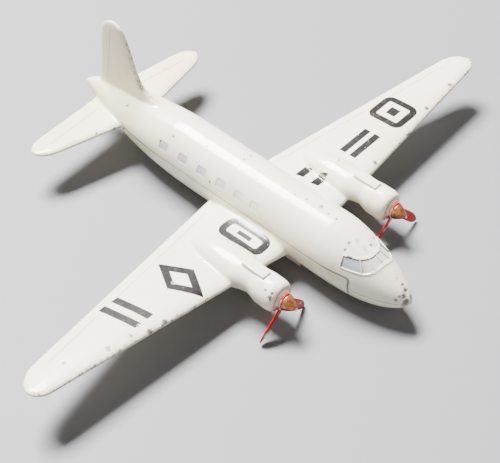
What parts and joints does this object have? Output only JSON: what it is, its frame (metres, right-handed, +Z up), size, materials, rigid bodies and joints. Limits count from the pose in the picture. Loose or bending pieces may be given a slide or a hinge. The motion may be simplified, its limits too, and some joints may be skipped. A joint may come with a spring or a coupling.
{
  "type": "desktop airliner model",
  "caption": "Die-cast model of a twin-engine low-wing airliner in off-white enamel, with red propellers that spin on pointed brass pins.",
  "frame": {"origin": "on the surface that the model rests on, at the middle of its length and span", "axes": "+X towards the port wing tip, +Y towards the tail, +Z up"},
  "size_m": [0.141, 0.0998, 0.0324],
  "materials": {
    "enamel": "gloss off-white enamel, yellowed, chipped to grey metal along the edges",
    "bare_metal": "dull peened rivet metal",
    "copper": "turned, coppery, with red paint rubbed on to it",
    "red_paint": "gloss red paint on pressed tinplate, worn white at the tips",
    "brass": "turned brass, tarnished"
  },
  "bodies": {
    "airframe": {"upper_casting": "enamel", "lower_casting": "enamel", "front_rivet": "bare_metal", "rear_rivet": "bare_metal", "port_collar": "copper", "starboard_collar": "copper", "port_spinner_pin": "brass", "starboard_spinner_pin": "brass"},
    "port_airscrew": {"port_propeller": "red_paint"},
    "starboard_airscrew": {"starboard_propeller": "red_paint"}
  },
  "joints": [
    {"name": "port_propeller_spin", "type": "hinge", "parent": "airframe", "child": "port_airscrew", "pos_m": [0.01825, -0.0313, 0.00764], "axis": [0, -1, 0], "continuous": true},
    {"name": "starboard_propeller_spin", "type": "hinge", "parent": "airframe", "child": "starboard_airscrew", "pos_m": [-0.01825, -0.0313, 0.00764], "axis": [0, -1, 0], "continuous": true}
  ]
}
